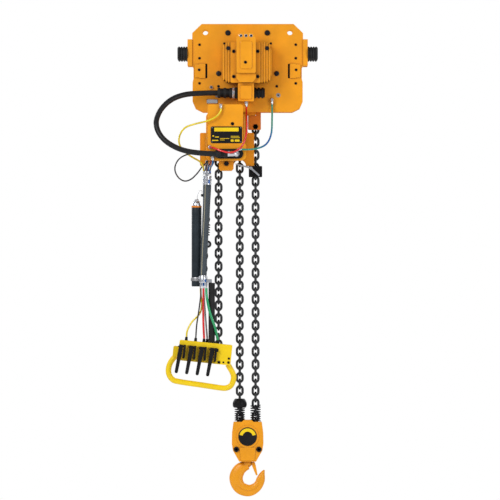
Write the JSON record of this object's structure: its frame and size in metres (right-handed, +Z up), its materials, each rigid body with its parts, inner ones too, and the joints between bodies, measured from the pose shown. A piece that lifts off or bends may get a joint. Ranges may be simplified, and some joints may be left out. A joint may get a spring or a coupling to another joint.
{
  "type": "air chain hoist",
  "caption": "Air chain hoist on a motor driven beam trolley, with two chain falls, a swivel hook block and a hanging pendant control with levers.",
  "frame": {"origin": "centre of the wheels' tread plane on the beam's lower flange", "axes": "+X along the beam, +Y away from the front side plate, +Z up"},
  "size_m": [0.899, 0.677, 2.596],
  "materials": {
    "orange_paint": "semi-gloss paint on castings and plate",
    "yellow_paint": "semi-gloss paint",
    "machined_steel": "machined",
    "plated_fittings": "bright plated",
    "black_plastic": "matte moulded",
    "black_steel": "blackened",
    "chain_steel": "blackened hardened steel",
    "black_rubber": "satin rubber",
    "woven_sleeve": "braided",
    "coloured_hose": "smooth polyurethane"
  },
  "bodies": {
    "root": {"front_side_plate": "orange_paint", "rear_side_plate": "orange_paint", "tie_bars": "machined_steel", "load_bar": "machined_steel", "wheel_axles": "machined_steel", "wheel_bearings": "machined_steel", "trolley_motor": "orange_paint", "trolley_motor_cover": "orange_paint", "trolley_valve": "orange_paint", "silencer": "black_plastic", "hose_couplings": "black_rubber", "end_brackets": "orange_paint", "rubber_buffers": "black_rubber", "guide_blocks": "orange_paint", "hose_fittings": "plated_fittings", "black_bolts": "black_steel", "hoist_front_cover": "orange_paint", "hoist_motor_housing": "orange_paint", "hoist_chain_housing": "orange_paint", "hoist_gear_housing": "orange_paint", "nameplate": "black_plastic", "sheave_bearings": "machined_steel", "chain_anchor": "orange_paint", "air_port": "black_plastic", "limit_switch": "black_plastic", "slack_chain": "chain_steel", "upper_chain": "chain_steel", "supply_hose": "black_rubber", "upper_control_hoses": "coloured_hose"},
    "front_left_wheel": {"front_left_wheel": "machined_steel"},
    "front_right_wheel": {"front_right_wheel": "machined_steel"},
    "rear_left_wheel": {"rear_left_wheel": "machined_steel"},
    "rear_right_wheel": {"rear_right_wheel": "machined_steel"},
    "drive_pinion": {"drive_pinion": "machined_steel"},
    "load_sheave": {"load_sheave": "machined_steel"},
    "limit_lever": {"limit_lever": "plated_fittings"},
    "middle_chain": {"middle_chain": "chain_steel"},
    "hook_block": {"lower_chain": "chain_steel", "block_front_half": "orange_paint", "block_rear_half": "orange_paint", "block_axle": "machined_steel", "block_bolts": "black_steel", "chain_springs": "black_steel", "spring_cap": "black_plastic", "hook_bearing": "machined_steel"},
    "block_sheave": {"block_sheave": "machined_steel"},
    "hook": {"hook": "orange_paint"},
    "hook_latch": {"hook_latch": "orange_paint"},
    "pendant": {"pendant_sleeve": "woven_sleeve", "pendant_clamps": "plated_fittings", "pendant_cylinder": "black_plastic", "exhaust_tube": "black_rubber", "controller_body": "yellow_paint", "controller_handle": "yellow_paint", "controller_fittings": "black_plastic", "lower_control_hoses": "coloured_hose"},
    "lever_1": {"lever_1": "black_plastic"},
    "lever_2": {"lever_2": "black_plastic"},
    "lever_3": {"lever_3": "black_plastic"},
    "lever_4": {"lever_4": "black_plastic"}
  },
  "joints": [
    {"name": "front_left_wheel_spin", "type": "hinge", "parent": "root", "child": "front_left_wheel", "pos_m": [-0.15, 0, 0.07], "axis": [0, 1, 0], "continuous": true},
    {"name": "front_right_wheel_spin", "type": "hinge", "parent": "root", "child": "front_right_wheel", "pos_m": [0.15, 0, 0.07], "axis": [0, 1, 0], "continuous": true},
    {"name": "rear_left_wheel_spin", "type": "hinge", "parent": "root", "child": "rear_left_wheel", "pos_m": [-0.15, 0, 0.07], "axis": [0, 1, 0], "continuous": true},
    {"name": "rear_right_wheel_spin", "type": "hinge", "parent": "root", "child": "rear_right_wheel", "pos_m": [0.15, 0, 0.07], "axis": [0, 1, 0], "continuous": true},
    {"name": "drive_pinion_spin", "type": "hinge", "parent": "root", "child": "drive_pinion", "pos_m": [0, 0, 0.07], "axis": [0, 1, 0], "continuous": true},
    {"name": "block_lift", "type": "slide", "parent": "root", "child": "hook_block", "axis": [0, 0, 1], "range_m": [0, 1.008], "deforming": ["upper_chain", "middle_chain", "lower_chain", "slack_chain"]},
    {"name": "middle_chain_travel", "type": "slide", "parent": "root", "child": "middle_chain", "axis": [0, 0, 1], "range_m": [0, 0.504]},
    {"name": "load_sheave_spin", "type": "hinge", "parent": "root", "child": "load_sheave", "pos_m": [-0.10176, 0, -0.396], "axis": [0, 1, 0], "range_deg": [-1987, 5]},
    {"name": "block_sheave_spin", "type": "hinge", "parent": "hook_block", "child": "block_sheave", "pos_m": [0, 0, -2.016], "axis": [0, 1, 0], "range_deg": [-1335, 5]},
    {"name": "hook_swivel", "type": "hinge", "parent": "hook_block", "child": "hook", "pos_m": [0, 0, -2.126], "axis": [0, 0, 1], "continuous": true},
    {"name": "latch_hinge", "type": "hinge", "parent": "hook", "child": "hook_latch", "pos_m": [0.032, 0, -2.166], "axis": [0, 1, 0], "range_deg": [0, 40], "stiffness_Nm_per_rad": 0.05, "springref_deg": -17.19},
    {"name": "limit_lever_hinge", "type": "hinge", "parent": "root", "child": "limit_lever", "pos_m": [0.018, -0.0384, -0.54], "axis": [0, 1, 0], "range_deg": [-12, 0], "stiffness_Nm_per_rad": 0.5, "springref_deg": 11.46},
    {"name": "pendant_swing", "type": "hinge", "parent": "root", "child": "pendant", "pos_m": [-0.223, -0.16, -0.604], "axis": [0, 1, 0], "range_deg": [-15, 15]},
    {"name": "lever_1_press", "type": "hinge", "parent": "pendant", "child": "lever_1", "pos_m": [-0.36429, -0.216, -1.51856], "axis": [0.9949, 0, -0.1011], "range_deg": [0, 9], "stiffness_Nm_per_rad": 2, "springref_deg": -20.05},
    {"name": "lever_2_press", "type": "hinge", "parent": "pendant", "child": "lever_2", "pos_m": [-0.30709, -0.216, -1.52437], "axis": [0.9949, 0, -0.1011], "range_deg": [0, 9], "stiffness_Nm_per_rad": 2, "springref_deg": -20.05},
    {"name": "lever_3_press", "type": "hinge", "parent": "pendant", "child": "lever_3", "pos_m": [-0.24988, -0.216, -1.53018], "axis": [0.9949, 0, -0.1011], "range_deg": [0, 9], "stiffness_Nm_per_rad": 2, "springref_deg": -20.05},
    {"name": "lever_4_press", "type": "hinge", "parent": "pendant", "child": "lever_4", "pos_m": [-0.19268, -0.216, -1.53599], "axis": [0.9949, 0, -0.1011], "range_deg": [0, 9], "stiffness_Nm_per_rad": 2, "springref_deg": -20.05}
  ],
  "couplings": [
    {"joint": "front_right_wheel_spin", "follows": "front_left_wheel_spin", "ratio": 1},
    {"joint": "drive_pinion_spin", "follows": "front_left_wheel_spin", "ratio": -1.5},
    {"joint": "middle_chain_travel", "follows": "block_lift", "ratio": 0.5},
    {"joint": "load_sheave_spin", "follows": "block_lift", "rad_per_m": -34.305},
    {"joint": "block_sheave_spin", "follows": "block_lift", "rad_per_m": -23.012}
  ]
}
